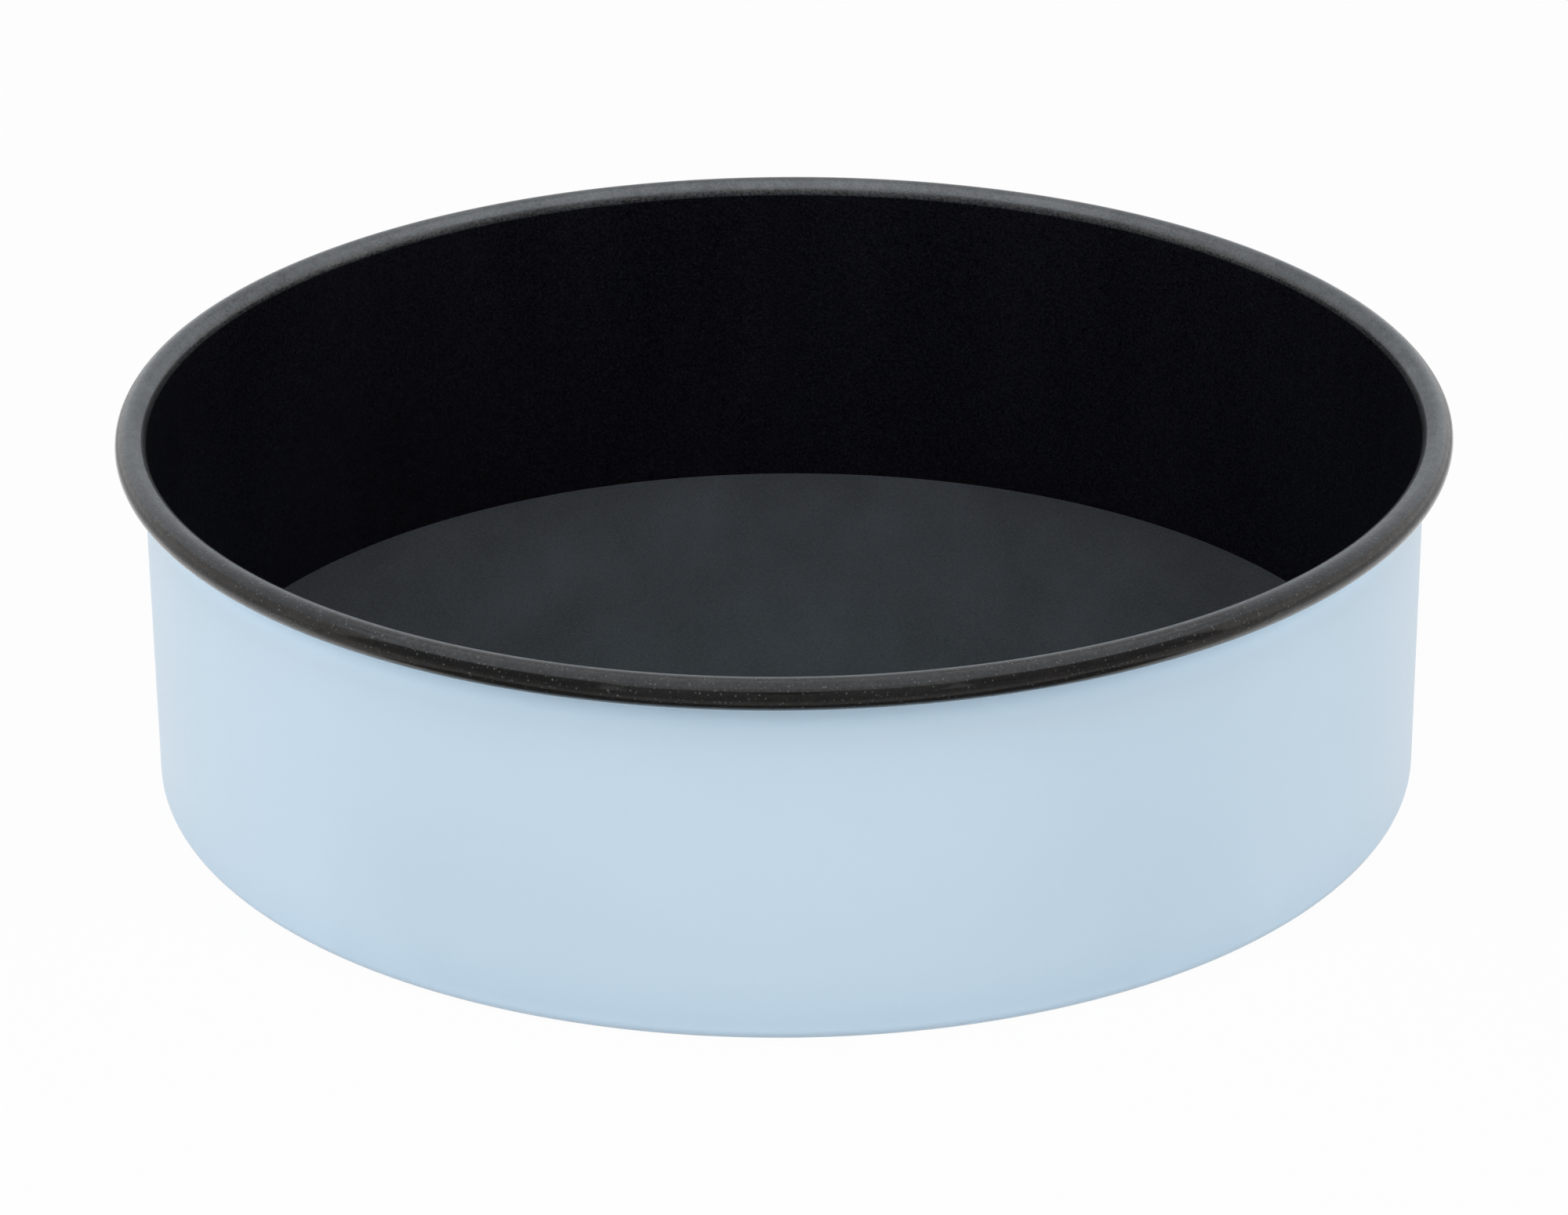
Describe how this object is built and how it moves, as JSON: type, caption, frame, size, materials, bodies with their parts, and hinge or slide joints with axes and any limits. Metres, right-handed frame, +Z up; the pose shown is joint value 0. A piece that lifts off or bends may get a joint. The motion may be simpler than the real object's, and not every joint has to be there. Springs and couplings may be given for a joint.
{
  "type": "loose-base cake tin",
  "caption": "Round deep cake tin: a straight ring with a wired, rolled rim and a rolled-in foot, and a flat loose base that pushes up and out.",
  "frame": {"origin": "centre of the plane that the foot stands on", "axes": "+Z up along the axis of the tin; X and Y lie in the plane of the table, and the picture looks along +Y and down"},
  "size_m": [0.24, 0.24, 0.068],
  "materials": {
    "blue_lacquer": "satin light-blue lacquer outside, dark speckled non-stick coat inside and over the rim",
    "nonstick_coat": "satin dark grey non-stick coat with fine light speckles",
    "bright_wire": "bright drawn steel wire, sealed in the rim"
  },
  "bodies": {
    "ring": {"pan_ring": "blue_lacquer", "rim_wire": "bright_wire"},
    "base": {"loose_base": "nonstick_coat"}
  },
  "joints": [
    {"name": "base_lift", "type": "slide", "parent": "ring", "child": "base", "axis": [0, 0, 1], "range_m": [0, 0.08]}
  ]
}
